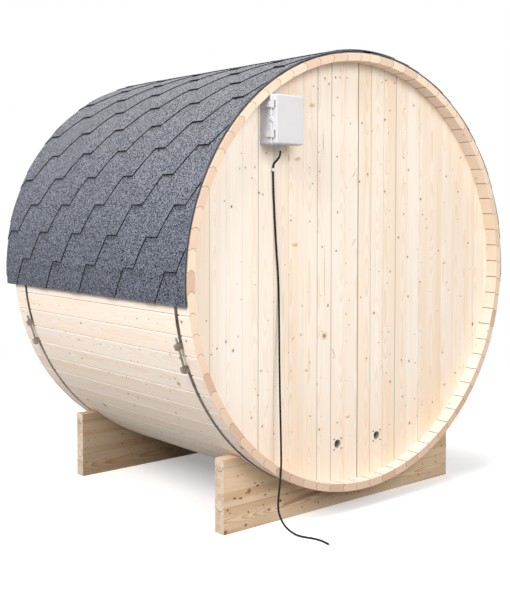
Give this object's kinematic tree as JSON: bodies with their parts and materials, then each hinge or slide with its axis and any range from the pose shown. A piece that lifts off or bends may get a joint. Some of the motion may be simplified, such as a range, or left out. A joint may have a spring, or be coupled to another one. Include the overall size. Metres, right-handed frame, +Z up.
{
  "type": "barrel sauna",
  "caption": "Horizontal barrel sauna of cove-and-bead wooden staves on cradles, with steel bands, a shingled roof and a hinged electrical box on its back wall.",
  "frame": {"origin": "on the ground under the middle of the whole object, its cord left out", "axes": "+Z up, the barrel's axis along Y with the back wall facing -Y, +X to the right of someone who faces the back wall"},
  "size_m": [1.857, 1.7361, 1.9302],
  "materials": {
    "stave_wood": "raw pale planed softwood",
    "wall_wood": "raw pale planed softwood",
    "door_wood": "raw pale planed softwood",
    "handle_wood": "sanded softwood",
    "cradle_wood": "raw knotty softwood",
    "band_steel": "dull strip steel",
    "hinge_steel": "zinc plated",
    "screen_wire": "dark wire cloth",
    "felt": "bitumen felt",
    "shingle": "bitumen with mineral granules",
    "box_plastic": "pale grey moulded plastic",
    "clip_plastic": "pale moulded plastic",
    "cord_rubber": "matt black sheath"
  },
  "bodies": {
    "sauna": {"upper_right_staves": "stave_wood", "right_staves": "stave_wood", "lower_right_staves": "stave_wood", "bottom_right_staves": "stave_wood", "bottom_left_staves": "stave_wood", "lower_left_staves": "stave_wood", "left_staves": "stave_wood", "upper_left_staves": "stave_wood", "closing_staves": "stave_wood", "back_wall": "wall_wood", "front_wall_left": "wall_wood", "front_wall_right": "wall_wood", "front_wall_over_door": "wall_wood", "front_wall_under_door": "wall_wood", "door_frame": "door_wood", "door_boards": "door_wood", "door_ledges": "door_wood", "door_handle": "handle_wood", "back_cradle": "cradle_wood", "front_cradle": "cradle_wood", "back_band": "band_steel", "front_band": "band_steel", "back_band_lugs": "band_steel", "front_band_lugs": "band_steel", "back_band_bolt": "band_steel", "front_band_bolt": "band_steel", "door_hinges": "hinge_steel", "box_hinge_pin": "hinge_steel", "vent_screens": "screen_wire", "roof_felt": "felt", "left_shingles": "shingle", "right_shingles": "shingle", "ridge_shingles": "shingle", "box_base": "box_plastic", "box_padlock_eye": "box_plastic", "cable_gland": "clip_plastic", "cord_clip": "clip_plastic", "supply_cord": "cord_rubber"},
    "cover": {"box_cover": "box_plastic", "box_latches": "box_plastic", "cover_padlock_eye": "box_plastic"}
  },
  "joints": [
    {"name": "box_cover_hinge", "type": "hinge", "parent": "sauna", "child": "cover", "pos_m": [-0.3835, -0.72575, 1.6118], "axis": [0, 0, 1], "range_deg": [0, 115]}
  ]
}
